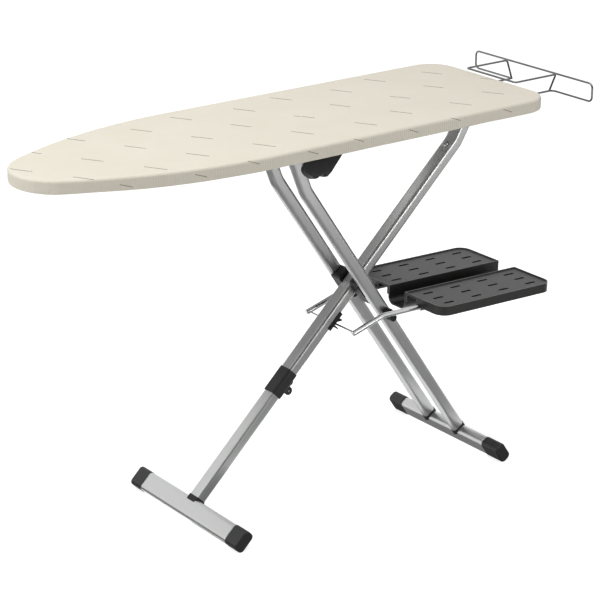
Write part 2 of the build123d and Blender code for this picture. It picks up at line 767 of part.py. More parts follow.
with BuildPart() as foot_gasket:
    with BuildSketch(front_section.offset(foot_face - gasket_height)):
        RectangleRounded(
            inner_tube_width + 2 * gasket_wall,
            inner_tube_depth + 2 * gasket_wall,
            inner_tube_round + gasket_wall,
        )
        RectangleRounded(inner_tube_width, inner_tube_depth, inner_tube_round, mode=Mode.SUBTRACT)
    extrude(amount=gasket_height + foot_round)
    add(foot_bar(front_foot_plane, front_foot_half, False), mode=Mode.SUBTRACT)
foot_gasket.part.label = "foot_gasket"
export_step(foot_gasket.part, "parts/foot_gasket.step")

# Rear leg: two bent oval tubes on the rear foot bar, with a ring at each foot
rear_tube_y = rear_tube_spacing / 2
rear_top = axle + rear_tip_up * top_overrun
rear_tube_end = cross + rear_down * (rear_foot_along - foot_long / 2 + foot_round)
for side, side_name in ((1, "far"), (-1, "near")):
    sideways = across * (side * rear_tube_y)
    with BuildPart() as rear_leg_tube:
        with BuildLine():
            FilletPolyline(
                rear_top + sideways,
                rear_bend_point + sideways,
                rear_tube_end + sideways,
                radius=bend_radius,
            )
        with BuildSketch(Plane(origin=rear_top + sideways, x_dir=across, z_dir=-rear_tip_up)):
            SlotOverall(rear_tube_depth, rear_tube_width, rotation=90)
            SlotOverall(
                rear_tube_depth - 2 * tube_wall,
                rear_tube_width - 2 * tube_wall,
                rotation=90,
                mode=Mode.SUBTRACT,
            )
        sweep()
        with BuildSketch(side_plane(axle)):
            Circle(pin_radius)
        extrude(amount=rear_tube_spacing, both=True, mode=Mode.SUBTRACT)
        add(foot_bar(rear_foot_plane, rear_foot_half, False), mode=Mode.SUBTRACT)
    rear_leg_tube.part.label = "rear_leg_tube_" + side_name
    export_step(rear_leg_tube.part, f"parts/rear_leg_tube_{side_name}.step")

with BuildPart() as foot_rings:
    for side in (1, -1):
        ring_along = rear_foot_along - foot_long / 2 - ring_height
        ring_start = cross + rear_down * ring_along + across * (side * rear_tube_y)
        with BuildSketch(Plane(origin=ring_start, x_dir=across, z_dir=rear_down)):
            SlotOverall(rear_tube_depth + 2 * ring_wall, rear_tube_width + 2 * ring_wall, rotation=90)
            SlotOverall(rear_tube_depth, rear_tube_width, rotation=90, mode=Mode.SUBTRACT)
        extrude(amount=ring_height + foot_round)
    add(foot_bar(rear_foot_plane, rear_foot_half, False), mode=Mode.SUBTRACT)
foot_rings.part.label = "foot_rings"
export_step(foot_rings.part, "parts/foot_rings.step")

# Axle across the rear tubes with a nylon slide bush in each guide rail
axle_half = rail_inner + clear_gap + slide_bush_width
with BuildPart() as slide_axle:
    with BuildSketch(side_plane(axle)):
        Circle(pin_radius)
    extrude(amount=axle_half, both=True)
slide_axle.part.label = "slide_axle"
export_step(slide_axle.part, "parts/slide_axle.step")

with BuildPart() as slide_bushes:
    for bush_start in (rail_inner + clear_gap, -axle_half):
        with BuildSketch(side_plane(axle).offset(bush_start)):
            Circle(slide_bush_radius)
            Circle(pin_radius, mode=Mode.SUBTRACT)
        extrude(amount=slide_bush_width)
slide_bushes.part.label = "slide_bushes"
export_step(slide_bushes.part, "parts/slide_bushes.step")

# Saddles that space the crossing legs, and the cross pin between them
saddle_inner = front_tube_width / 2 + clear_gap
saddle_outer = rear_tube_y - rear_tube_width * 0.2
saddle_half = 24.0
saddle_depth = rear_tube_depth + 4.0
saddle_lobe = 58.0
cross_pin_half = rear_tube_y - rear_tube_width / 2 - 2.0
for side, side_name in ((1, "far"), (-1, "near")):
    with BuildPart() as cross_saddle:
        with BuildSketch(rear_side.offset(-side * saddle_inner)):
            RectangleRounded(2 * saddle_half, saddle_depth, 9.0)
            with Locations((saddle_lobe / 2, 0)):
                RectangleRounded(saddle_lobe, saddle_depth * 0.72, 9.0)
        extrude(amount=-side * (saddle_outer - saddle_inner))
        tube_middle = cross + across * (side * rear_tube_y)
        with BuildSketch(Plane(origin=tube_middle, x_dir=across, z_dir=rear_down)):
            SlotOverall(rear_tube_depth, rear_tube_width, rotation=90)
        extrude(amount=2 * saddle_lobe, both=True, mode=Mode.SUBTRACT)
        with BuildSketch(side_plane(cross)):
            Circle(pin_radius)
        extrude(amount=cross_pin_half, both=True, mode=Mode.SUBTRACT)
    cross_saddle.part.label = "cross_saddle_" + side_name
    export_step(cross_saddle.part, f"parts/cross_saddle_{side_name}.step")

with BuildPart() as cross_pin:
    with BuildSketch(side_plane(cross)):
        Circle(pin_radius)
    extrude(amount=cross_pin_half, both=True)
cross_pin.part.label = "cross_pin"
export_step(cross_pin.part, "parts/cross_pin.step")

# Levelling end of the rear foot bar: a socket with a turning shoe on a spindle
spindle_radius = 6.0
socket_end = rear_foot_half + leveller_socket_length
leveller_start = socket_end + clear_gap
leveller_reach = leveller_length - clear_gap
with BuildPart() as leveller_socket:
    with BuildSketch(rear_foot_plane.offset(rear_foot_half)):
        RectangleRounded(cap_long, cap_short, cap_round)
    extrude(amount=leveller_socket_length)
    with BuildSketch(rear_foot_plane.offset(rear_foot_half - plug_length)):
        RectangleRounded(plug_long, plug_short, plug_round)
    extrude(amount=plug_length)
    with BuildSketch(rear_foot_plane.offset(rear_foot_half - plug_length)):
        Circle(spindle_radius + running_gap)
    extrude(amount=plug_length + leveller_socket_length, mode=Mode.SUBTRACT)
    with Locations((rear_foot_plane.origin.X, -rear_foot_half, -cap_long)):
        Box(3 * cap_long, 4 * cap_long, 2 * cap_long, mode=Mode.SUBTRACT)
leveller_socket.part.label = "leveller_socket"
export_step(leveller_socket.part, "parts/leveller_socket.step")

with BuildPart() as leveller_shoe:
    with BuildSketch(rear_foot_plane.offset(leveller_start)):
        RectangleRounded(cap_long, cap_short, cap_round)
    extrude(amount=leveller_reach)
    fillet(leveller_shoe.faces().sort_by(Axis.Y)[0].edges(), cap_end_round)
    with BuildSketch(rear_foot_plane.offset(leveller_start)):
        Circle(spindle_radius)
    extrude(amount=leveller_reach / 2, mode=Mode.SUBTRACT)
    with Locations((rear_foot_plane.origin.X, -rear_foot_half, -cap_long)):
        Box(3 * cap_long, 4 * cap_long, 2 * cap_long, mode=Mode.SUBTRACT)
leveller_shoe.part.label = "leveller_shoe"
export_step(leveller_shoe.part, "parts/leveller_shoe.step")

with BuildPart() as leveller_spindle:
    with BuildSketch(rear_foot_plane.offset(rear_foot_half - plug_length)):
        Circle(spindle_radius)
    extrude(amount=plug_length + leveller_socket_length + clear_gap + leveller_reach / 2)
leveller_spindle.part.label = "leveller_spindle"
export_step(leveller_spindle.part, "parts/leveller_spindle.step")

# Tray arms' brackets on the outer faces of the rear tubes, with the pivot pins
tilt = radians(tray_tilt)
tray_pivot = Vector(x_rear - tray_setback, 0, tray_pivot_height)
tray_back = Vector(cos(tilt), 0, -sin(tilt))
tray_up = Vector(sin(tilt), 0, cos(tilt))
tray_plane = Plane(origin=tray_pivot, x_dir=tray_back, z_dir=tray_up)
tray_end = Plane(origin=tray_pivot + tray_back * tray_front, x_dir=across, z_dir=tray_back)
tray_side = Plane(origin=tray_pivot, x_dir=tray_back, z_dir=towards_near)
pivot_along = (tray_pivot - cross).dot(rear_down)
pivot_over = (tray_pivot - cross).dot(rear_over)
arm_y = arm_spacing / 2
bracket_inner = rear_tube_y + rear_tube_width * 0.2
bracket_outer = arm_y - arm_radius - clear_gap
pivot_pin_radius = 4.0
pivot_pin_end = arm_y + arm_radius * 0.6
for side, side_name in ((1, "far"), (-1, "near")):
    with BuildPart() as tray_bracket:
        with BuildSketch(rear_side.offset(-side * bracket_inner)):
            with Locations((pivot_along + 8.0, pivot_over - 3.0)):
                RectangleRounded(38.0, 18.0, 8.0)
        extrude(amount=-side * (bracket_outer - bracket_inner))
        tube_middle = cross + across * (side * rear_tube_y)
        with BuildSketch(Plane(origin=tube_middle, x_dir=across, z_dir=rear_down)):
            SlotOverall(rear_tube_depth, rear_tube_width, rotation=90)
        extrude(amount=pivot_along * 2, mode=Mode.SUBTRACT)
        with BuildSketch(tray_side):
            Circle(pivot_pin_radius)
        extrude(amount=arm_spacing, both=True, mode=Mode.SUBTRACT)
    tray_bracket.part.label = "tray_bracket_" + side_name
    export_step(tray_bracket.part, f"parts/tray_bracket_{side_name}.step")

pivot_pin_start = rear_tube_y + rear_tube_width / 2 + 1.0
with BuildPart() as tray_pivot_pins:
    for pin_start in (pivot_pin_start, -pivot_pin_end):
        with BuildSketch(tray_side.offset(pin_start)):
            Circle(pivot_pin_radius)
        extrude(amount=pivot_pin_end - pivot_pin_start)
tray_pivot_pins.part.label = "tray_pivot_pins"
export_step(tray_pivot_pins.part, "parts/tray_pivot_pins.step")

# Bent chrome arms and the rod between their tips
rod_place = on_front_leg(rod_along, rod_below)
arm_bend_point = tray_pivot - tray_back * arm_bend_ahead
arm_slope = (rod_place - arm_bend_point).normalized()
arm_tip = rod_place + arm_slope * (arm_radius + 1.0)
arm_end = tray_pivot + tray_back * (tray_front + arm_hold)
for side, side_name in ((1, "far"), (-1, "near")):
    sideways = across * (side * arm_y)
    with BuildPart() as tray_arm:
        with BuildLine():
            FilletPolyline(
                arm_tip + sideways,
                arm_bend_point + sideways,
                arm_end + sideways,
                radius=arm_radius * 5,
            )
        with BuildSketch(Plane(origin=arm_tip + sideways, x_dir=across, z_dir=-arm_slope)):
            Circle(arm_radius)
        sweep()
        fillet(tray_arm.edges().sort_by(Axis.X)[0], arm_radius / 2)
        with BuildSketch(tray_side):
            Circle(pivot_pin_radius + running_gap)
        extrude(amount=pivot_pin_end + clear_gap, both=True, mode=Mode.SUBTRACT)
        with BuildSketch(side_plane(rod_place)):
            Circle(rod_radius)
        extrude(amount=arm_y, both=True, mode=Mode.SUBTRACT)
    tray_arm.part.label = "tray_arm_" + side_name
    export_step(tray_arm.part, f"parts/tray_arm_{side_name}.step")

with BuildPart() as tray_rod:
    with BuildSketch(side_plane(rod_place)):
        Circle(rod_radius)
    extrude(amount=arm_y, both=True)
tray_rod.part.label = "tray_rod"
export_step(tray_rod.part, "parts/tray_rod.step")

# Tray moulding: two slotted wings with a rim, skirts notched for the rear tubes, and the trough between
wing_inner = trough_width / 2
wing_width = tray_width / 2 - wing_inner
wing_mid = wing_inner + wing_width / 2
tray_mid = tray_front + tray_length / 2
inside_length = tray_length - 2 * tray_wall
inside_width = tray_width - 2 * tray_wall
inside_corner = tray_corner - tray_wall
tray_bottom = tray_top - tray_skirt
plate_bottom = tray_top - tray_recess - tray_wall
with BuildPart() as tray_moulding:
    with BuildSketch(tray_plane.offset(tray_bottom)):
        with Locations((tray_mid, 0)):
            RectangleRounded(tray_length, tray_width, tray_corner)
    extrude(amount=tray_skirt)
    with BuildSketch(tray_plane.offset(tray_bottom)):
        with Locations((tray_mid, 0)):
            RectangleRounded(inside_length, inside_width, inside_corner)
    extrude(amount=plate_bottom - tray_bottom, mode=Mode.SUBTRACT)
    with BuildSketch(tray_plane.offset(tray_bottom)):
        with Locations((tray_mid, rear_tube_y), (tray_mid, -rear_tube_y)):
            Rectangle(tray_length, leg_notch_width)
    extrude(amount=tray_skirt - leg_notch_cover, mode=Mode.SUBTRACT)
    with BuildSketch(tray_plane.offset(tray_top - tray_recess)):
        with Locations((tray_mid, 0)):
            RectangleRounded(inside_length, inside_width, inside_corner)
            Rectangle(tray_length, trough_width + 2 * tray_wall, mode=Mode.SUBTRACT)
    extrude(amount=tray_recess, mode=Mode.SUBTRACT)
    with BuildSketch(tray_plane.offset(plate_bottom + tray_wall - slot_depth)):
        with Locations((tray_mid, wing_mid), (tray_mid, -wing_mid)):
            with GridLocations(slot_pitch_x, slot_pitch_y, 4, 3):
                SlotOverall(slot_length, slot_width)
    extrude(amount=slot_depth, mode=Mode.SUBTRACT)
    with BuildSketch(tray_end):
        with Locations((0, tray_top)):
            Rectangle(trough_width, trough_depth, align=(Align.CENTER, Align.MAX))
    extrude(amount=tray_length, mode=Mode.SUBTRACT)
    with BuildSketch(tray_end) as trough:
        with Locations((0, tray_top)):
            Rectangle(trough_width + 2 * tray_wall, trough_depth, align=(Align.CENTER, Align.MAX))
        fillet(trough.vertices().group_by(Axis.Y)[0], trough_round + tray_wall)
        with BuildSketch(mode=Mode.SUBTRACT) as trough_inside:
            with Locations((0, tray_top)):
                Rectangle(trough_width, trough_depth - tray_wall, align=(Align.CENTER, Align.MAX))
            fillet(trough_inside.vertices().group_by(Axis.Y)[0], trough_round)
    extrude(amount=tray_length)
    with BuildSketch(tray_end):
        for boss_y in (arm_y, -arm_y):
            with Locations((boss_y, 0)):
                Circle(arm_radius + arm_boss_wall)
                Rectangle(2 * tray_wall, plate_bottom, align=(Align.CENTER, Align.MIN))
    extrude(amount=arm_hold + tray_wall)
    with BuildSketch(tray_end):
        with Locations((arm_y, 0), (-arm_y, 0)):
            Circle(arm_radius)
    extrude(amount=arm_hold, mode=Mode.SUBTRACT)
tray_moulding.part.label = "tray_moulding"
export_step(tray_moulding.part, "parts/tray_moulding.step")

# Iron rest: a wire loop behind the board on two arms, and the cradle bend welded to it
rest_x = x_rear + rest_reach - wire_radius
arm_z = cover_bottom - rest_arm_drop
rest_half = half_width - rest_inset - wire_radius
rest_arm_y = rest_arm_spacing / 2
arm_inner_x = x_rear - socket_setback - socket_length + 10.0
rail_z = board_height + rest_rail_rise
with BuildPart() as rest_loop:
    with BuildLine():
        FilletPolyline(
            (arm_inner_x, -rest_arm_y, arm_z),
            (rest_x, -rest_arm_y, arm_z),
            (rest_x, -rest_half, arm_z),
            (rest_x, -rest_half, rail_z),
            (rest_x, rest_half, rail_z),
            (rest_x, rest_half, arm_z),
            (rest_x, rest_arm_y, arm_z),
            (arm_inner_x, rest_arm_y, arm_z),
            radius=wire_bend,
        )
    with BuildSketch(Plane(origin=(arm_inner_x, -rest_arm_y, arm_z), x_dir=across, z_dir=(1, 0, 0))):
        Circle(wire_radius)
    sweep()
rest_loop.part.label = "rest_loop"
export_step(rest_loop.part, "parts/rest_loop.step")

cradle_half = cradle_width / 2
cradle_x = rest_x - 2 * wire_radius - weld_gap
cradle_foot = rest_arm_y - 1.75 * wire_radius
with BuildPart() as rest_cradle:
    with BuildLine():
        FilletPolyline(
            (cradle_x, -cradle_foot, arm_z),
            (cradle_x, -cradle_half, rail_z),
            (x_rear - cradle_overlap, -cradle_half, rail_z),
            (x_rear - cradle_overlap, cradle_half, rail_z),
            (cradle_x, cradle_half, rail_z),
            (cradle_x, cradle_foot, arm_z),
            radius=cradle_bend,
        )
    rise = Vector(0, cradle_foot - cradle_half, rail_z - arm_z)
    with BuildSketch(Plane(origin=(cradle_x, -cradle_foot, arm_z), x_dir=(1, 0, 0), z_dir=rise)):
        Circle(wire_radius)
    sweep()
rest_cradle.part.label = "rest_cradle"
export_step(rest_cradle.part, "parts/rest_cradle.step")

# Sockets under the deck in which the rest's arms slide
socket_x = x_rear - socket_setback - socket_length / 2
socket_height = deck_underside - arm_z
with BuildPart() as rest_sockets:
    for side in (1, -1):
        socket_place = (socket_x - socket_length / 2, side * rest_arm_y, arm_z)
        with BuildSketch(Plane(origin=socket_place, x_dir=across, z_dir=(1, 0, 0))):
            RectangleRounded(socket_width, socket_width * 0.8, 3.0)
            Rectangle(socket_width * 0.4, socket_height, align=(Align.CENTER, Align.MIN))
            with Locations((0, socket_height)):
                Rectangle(socket_width * 1.6, bracket_wall, align=(Align.CENTER, Align.MAX))
            Circle(wire_radius + running_gap, mode=Mode.SUBTRACT)
        extrude(amount=socket_length)
rest_sockets.part.label = "rest_sockets"
export_step(rest_sockets.part, "parts/rest_sockets.step")
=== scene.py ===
import math

import bmesh
import bpy
from mathutils import Matrix, Vector, noise


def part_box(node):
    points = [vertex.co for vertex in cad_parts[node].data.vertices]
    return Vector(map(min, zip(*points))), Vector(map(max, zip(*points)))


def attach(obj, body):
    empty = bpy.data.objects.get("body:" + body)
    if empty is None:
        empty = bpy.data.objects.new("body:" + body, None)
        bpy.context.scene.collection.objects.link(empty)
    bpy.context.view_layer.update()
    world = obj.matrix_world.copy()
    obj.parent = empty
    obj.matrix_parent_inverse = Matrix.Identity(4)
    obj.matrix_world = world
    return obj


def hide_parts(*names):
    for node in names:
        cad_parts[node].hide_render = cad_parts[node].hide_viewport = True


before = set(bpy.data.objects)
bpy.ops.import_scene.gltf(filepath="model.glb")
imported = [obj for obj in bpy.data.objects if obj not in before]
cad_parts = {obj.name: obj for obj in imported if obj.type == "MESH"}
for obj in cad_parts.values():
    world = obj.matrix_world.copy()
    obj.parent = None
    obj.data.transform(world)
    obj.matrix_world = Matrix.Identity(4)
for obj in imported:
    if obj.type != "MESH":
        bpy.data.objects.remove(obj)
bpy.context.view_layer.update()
scene = bpy.context.scene

# Studio: a white sweep under soft overhead light, photographed with a long lens from the nose end,
# looking down at about twenty degrees. The backdrop shows pure white and keeps a faint shadow.
scene.view_settings.view_transform = "Standard"


def linear(colour):
    """An sRGB hex colour as the linear RGBA that shaders take."""
    channels = [int(colour[i:i + 2], 16) / 255 for i in (1, 3, 5)]
    return [c / 12.92 if c <= 0.04045 else ((c + 0.055) / 1.055) ** 2.4 for c in channels] + [1.0]


def add_node(tree, kind, inputs=None, **settings):
    """Add a node with its settings, and with values or links on its inputs."""
    node = tree.nodes.new(kind)
    for name, value in settings.items():
        setattr(node, name, value)
    for name, value in (inputs or {}).items():
        if isinstance(value, bpy.types.NodeSocket):
            tree.links.new(value, node.inputs[name])
        else:
            node.inputs[name].default_value = value
    return node


def calc(tree, operation, *values):
    """The result of a maths node."""
    return add_node(tree, "ShaderNodeMath", dict(enumerate(values)), operation=operation).outputs[0]


def new_material(name):
    """An empty node material and its tree."""
    material = bpy.data.materials.new(name)
    material.use_nodes = True
    material.node_tree.nodes.clear()
    return material, material.node_tree


def mesh_piece(name, points, faces, material, smooth=True):
    """A mesh object at the origin from points and faces, with outward normals."""
    mesh = bpy.data.meshes.new(name)
    mesh.from_pydata(points, [], faces)
    shape = bmesh.new()
    shape.from_mesh(mesh)
    bmesh.ops.remove_doubles(shape, verts=shape.verts, dist=1e-6)
    bmesh.ops.recalc_face_normals(shape, faces=shape.faces)
    for face in shape.faces:
        face.smooth = smooth
    shape.to_mesh(mesh)
    shape.free()
    mesh.materials.append(material)
    piece = bpy.data.objects.new(name, mesh)
    scene.collection.objects.link(piece)
    return piece


sweep_half = 9
backdrop_material, tree = new_material("white_paper_sweep")
rays = add_node(tree, "ShaderNodeLightPath").outputs
mirror_ray = calc(tree, "MAXIMUM", rays["Is Camera Ray"], rays["Is Glossy Ray"])
paper = add_node(tree, "ShaderNodeBsdfDiffuse", {"Color": linear("#f2f2f2")})
glow = add_node(tree, "ShaderNodeEmission", {"Color": (1, 1, 1, 1), "Strength": 0.75})
paper_glow = add_node(tree, "ShaderNodeAddShader", {0: paper.outputs[0], 1: glow.outputs[0]})
paper_inputs = {0: mirror_ray, 1: paper.outputs[0], 2: paper_glow.outputs[0]}
paper_mix = add_node(tree, "ShaderNodeMixShader", paper_inputs)
add_node(tree, "ShaderNodeOutputMaterial", {"Surface": paper_mix.outputs[0]})
sweep_points = [(sweep_half * x, sweep_half * y, 0) for x, y in ((-1, -1), (1, -1), (1, 1), (-1, 1))]
sweep = mesh_piece("paper_sweep", sweep_points, [(0, 1, 2, 3)], backdrop_material)

world = bpy.data.worlds.new("studio")
world.use_nodes = True
scene.world = world
tree = world.node_tree
tree.nodes.clear()
rays = add_node(tree, "ShaderNodeLightPath").outputs
seen = calc(tree, "MAXIMUM", rays["Is Camera Ray"], rays["Is Glossy Ray"])
seen = calc(tree, "MAXIMUM", seen, rays["Is Transmission Ray"])
fill = add_node(tree, "ShaderNodeBackground", {"Color": (1, 1, 1, 1), "Strength": 0.30})
white = add_node(tree, "ShaderNodeBackground", {"Color": (1, 1, 1, 1), "Strength": 1.0})
sky = add_node(tree, "ShaderNodeMixShader", {0: seen, 1: fill.outputs[0], 2: white.outputs[0]})
add_node(tree, "ShaderNodeOutputWorld", {"Surface": sky.outputs[0]})

lamp_target = Vector((0, 0, 0.5))
for lamp_name, lamp_place, lamp_size, lamp_power in (
    ("overhead_softbox", (-0.8, -0.2, 4.2), 2.4, 76.0),
    ("front_softbox", (-3.6, 0.9, 2.2), 1.6, 34.0),
    ("near_softbox", (1.6, -4.2, 1.0), 1.2, 22.0),
):
    lamp_data = bpy.data.lights.new(lamp_name, "AREA")
    lamp_data.shape = "DISK"
    lamp_data.size = lamp_size
    lamp_data.energy = lamp_power
    lamp = bpy.data.objects.new(lamp_name, lamp_data)
    lamp.location = lamp_place
    lamp.rotation_mode = "QUATERNION"
    lamp.rotation_quaternion = (lamp_target - lamp.location).to_track_quat("-Z", "Y")
    scene.collection.objects.link(lamp)

# Grey panels that glow for mirror rays only, as painted reflections: behind the camera and to the right they
# paint a dark studio, behind the legs the shade under the board, and on the floor round the feet the shadow
# the object casts. They give bright metal its dark lines.
floor_panel_height = 0.003
glossy_only_panels = [
    (name, colour, [(*start, low), (*end, low), (*end, high), (*start, high)])
    for name, colour, start, end, low, high in (
        ("painted_dark_studio_behind", "#1a1a1a", (-5.8, -2.7), (1.6, -7.2), 0.6, 9.0),
        ("painted_dark_studio_right", "#303030", (4.0, -4.0), (4.0, 2.0), 0.0, 1.6),
        ("painted_board_shade", "#929292", (-0.8, 0.3), (0.5, 0.3), 0.48, 0.9),
    )
]
glossy_only_panels += [
    (name, colour, [(x, y, floor_panel_height) for x, y in ((x0, y0), (x1, y0), (x1, y1), (x0, y1))])
    for name, colour, (x0, y0), (x1, y1) in (
        ("painted_floor_shadow_outer", "#acacac", (-1.2, -2.4), (2.6, -1.3)),
        ("painted_floor_shadow_inner", "#949494", (-1.2, -1.3), (2.6, -0.22)),
        ("painted_floor_shadow_by_front_leg", "#7c7c7c", (-0.34, -0.22), (-0.1, -0.03)),
        ("painted_floor_shadow_rear_foot", "#8a8a8a", (0.44, -0.24), (0.53, 0.3)),
        ("painted_floor_shadow_front_foot", "#5c5c5c", (-1.0, -0.32), (-0.35, 0.6)),
    )
]
for panel_name, panel_colour, panel_points in glossy_only_panels:
    panel_material, tree = new_material(panel_name + "_painted_reflection")
    panel_glow = add_node(tree, "ShaderNodeEmission", {"Color": linear(panel_colour)})
    add_node(tree, "ShaderNodeOutputMaterial", {"Surface": panel_glow.outputs[0]})
    mirror_panel_object = mesh_piece(panel_name, panel_points, [(0, 1, 2, 3)], panel_material)
    mirror_panel_object.visible_camera = False
    mirror_panel_object.visible_diffuse = False
    mirror_panel_object.visible_shadow = False

camera_yaw = math.radians(36.93)
camera_pitch = math.radians(20.48)
camera_data = bpy.data.cameras.new("long_lens")
camera_data.lens = 126.9
camera_data.sensor_width = 36.0
camera_data.clip_end = 60.0
camera = bpy.data.objects.new("long_lens", camera_data)
camera.location = (-2.851, -3.809, 2.262)
camera.rotation_mode = "QUATERNION"
camera_aim = Vector((
    math.sin(camera_yaw) * math.cos(camera_pitch),
    math.cos(camera_yaw) * math.cos(camera_pitch),
    -math.sin(camera_pitch),
))
camera.rotation_quaternion = camera_aim.to_track_quat("-Z", "Y")
scene.collection.objects.link(camera)
scene.camera = camera

# Cover: cream cotton twill, cut to the board's outline and drawn tight round its edge by a cord
# in the hem. The cloth is flat on top, rolls over the pad and gathers a little under the deck.
cover_low, cover_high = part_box("cover")
board_rear_x = cover_high.x
board_nose_x = cover_low.x
board_half_width = cover_high.y
board_top = cover_high.z
board_bottom = cover_low.z
rear_corner = 0.070
side_sweep = 0.985
straight_run = 0.833
waist_x = board_rear_x - straight_run
sweep_y = board_half_width - side_sweep
nose_run = waist_x - board_nose_x
# The nose arc touches the side sweep, which fixes its radius and where the two meet.
nose_radius = (side_sweep**2 - nose_run**2 - sweep_y**2) / (2 * (side_sweep - nose_run))
nose_turn = math.atan2(nose_run - nose_radius, -sweep_y)
quarter = math.pi / 2


def arc(centre_x, centre_y, radius, start, turn, count):
    """Points along an arc, without its end."""
    angles = [start + turn * i / count for i in range(count)]
    return [(centre_x + radius * math.cos(angle), centre_y + radius * math.sin(angle)) for angle in angles]


def board_edge(inset):
    """Points round the board's outline, pulled in by an inset, from the middle of the rear edge."""
    corner_x, corner_y = board_rear_x - rear_corner, board_half_width - rear_corner
    half = [(board_rear_x - inset, corner_y * i / 24) for i in range(24)]
    half += arc(corner_x, corner_y, rear_corner - inset, 0.0, quarter, 16)
    half += [(corner_x + (waist_x - corner_x) * i / 64, board_half_width - inset) for i in range(64)]
    half += arc(waist_x, sweep_y, side_sweep - inset, quarter, nose_turn, 56)
    nose_x = board_nose_x + nose_radius
    half += arc(nose_x, 0.0, nose_radius - inset, quarter + nose_turn, quarter - nose_turn, 40)
    tip = [(board_nose_x + inset, 0.0)]
    return half + tip + [(x, -y) for x, y in reversed(half[1:])]


def ring_faces(lower, upper):
    """Quads between two rings of edge points."""
    here, above = lower * ring_size, upper * ring_size
    pairs = [(i, (i + 1) % ring_size) for i in range(ring_size)]
    return [(here + i, here + j, above + j, above + i) for i, j in pairs]


def piece_material(name):
    """A node material, its tree and the object coordinates."""
    material, tree = new_material(name)
    return material, tree, add_node(tree, "ShaderNodeTexCoord").outputs["Object"]


def mottle(tree, place, scale, detail=2.0, **more):
    """A noise pattern."""
    inputs = {"Vector": place, "Scale": scale, "Detail": detail, **more}
    return add_node(tree, "ShaderNodeTexNoise", inputs).outputs["Fac"]


def blend(tree, share, low, high):
    """A colour between two hex or linked colours."""
    low, high = [linear(colour) if isinstance(colour, str) else colour for colour in (low, high)]
    return add_node(tree, "ShaderNodeMix", {0: share, 6: low, 7: high}, data_type="RGBA").outputs[2]


def relief(tree, height, strength, depth, **more):
    """A bumped normal."""
    inputs = {"Strength": strength, "Distance": depth, "Height": height, **more}
    return add_node(tree, "ShaderNodeBump", inputs).outputs[0]


def skin(tree, colour, roughness, more=None):
    """Close a material with one principled surface."""
    inputs = {"Base Color": colour, "Roughness": roughness, **(more or {})}
    surface = add_node(tree, "ShaderNodeBsdfPrincipled", inputs)
    add_node(tree, "ShaderNodeOutputMaterial", {"Surface": surface.outputs[0]})


cotton, tree, place = piece_material("cotton_twill_cream")
split = add_node(tree, "ShaderNodeSeparateXYZ", {0: place}).outputs
# Twill threads are half a millimetre apart; they are drawn at six so that the weave still shows.
weave_inputs = {"Vector": place, "Scale": 52.0, "Distortion": 0.6, "Detail": 1.0}
warp = add_node(tree, "ShaderNodeTexWave", weave_inputs, wave_type="BANDS", bands_direction="X")
weft = add_node(tree, "ShaderNodeTexWave", weave_inputs, wave_type="BANDS", bands_direction="Y")
weave = calc(tree, "MULTIPLY", warp.outputs["Fac"], weft.outputs["Fac"])
# Slubs and washing leave the cream uneven over about a hand's width.
slub = mottle(tree, place, 9.0, 5.0, Roughness=0.6)
cloth_tone = blend(tree, slub, "#e8e1cf", "#f1ebdc")
# A plain print of short grey dashes in slanting rows. Towards the skirt the rows bend over until they
# run almost level.
dash_length, dash_pitch, dash_slant = 0.056, 0.155, math.radians(60.2)
row_pitch, row_start, row_line = 0.126, 0.3016, 0.012
odd_row_back, row_drift = 0.045, 0.006
skirt_stretch = 4.5
drop = calc(tree, "SUBTRACT", board_top, split["Z"])
side_bend = calc(tree, "MULTIPLY", calc(tree, "SIGN", split["Y"]), skirt_stretch)
flat_y = calc(tree, "MULTIPLY_ADD", drop, side_bend, split["Y"])
flat_place = add_node(tree, "ShaderNodeCombineXYZ", {"X": split["X"], "Y": flat_y}).outputs[0]
turn_inputs = {"Vector": flat_place, "Angle": dash_slant}
print_turn = add_node(tree, "ShaderNodeVectorRotate", turn_inputs, rotation_type="Z_AXIS").outputs[0]
print_place = add_node(tree, "ShaderNodeSeparateXYZ", {0: print_turn}).outputs
row_place = calc(tree, "MULTIPLY_ADD", print_place["Y"], 1 / row_pitch, row_start / row_pitch)
row_number = calc(tree, "FLOOR", row_place)
row_odd = calc(tree, "FLOORED_MODULO", row_number, 2.0)
row_stagger = calc(tree, "MULTIPLY", row_odd, -odd_row_back / dash_pitch)
row_shift = calc(tree, "MULTIPLY_ADD", row_number, row_drift / dash_pitch, row_stagger)
dash_place = calc(tree, "MULTIPLY_ADD", print_place["X"], 1 / dash_pitch, row_shift)
in_dash = calc(tree, "LESS_THAN", calc(tree, "FRACT", dash_place), dash_length / dash_pitch)
in_row = calc(tree, "COMPARE", calc(tree, "FRACT", row_place), 0.5, row_line)
ink = calc(tree, "MULTIPLY", in_dash, in_row)
skin(tree, blend(tree, ink, cloth_tone, "#6b6962"), 0.88, {
    "Sheen Weight": 0.25, "Sheen Roughness": 0.5, "Normal": relief(tree, weave, 0.5, 0.0006),
})

edge_roll = 0.007
hem_width = 0.022
skirt_low = board_bottom + 0.0006
roll_low = board_top - edge_roll
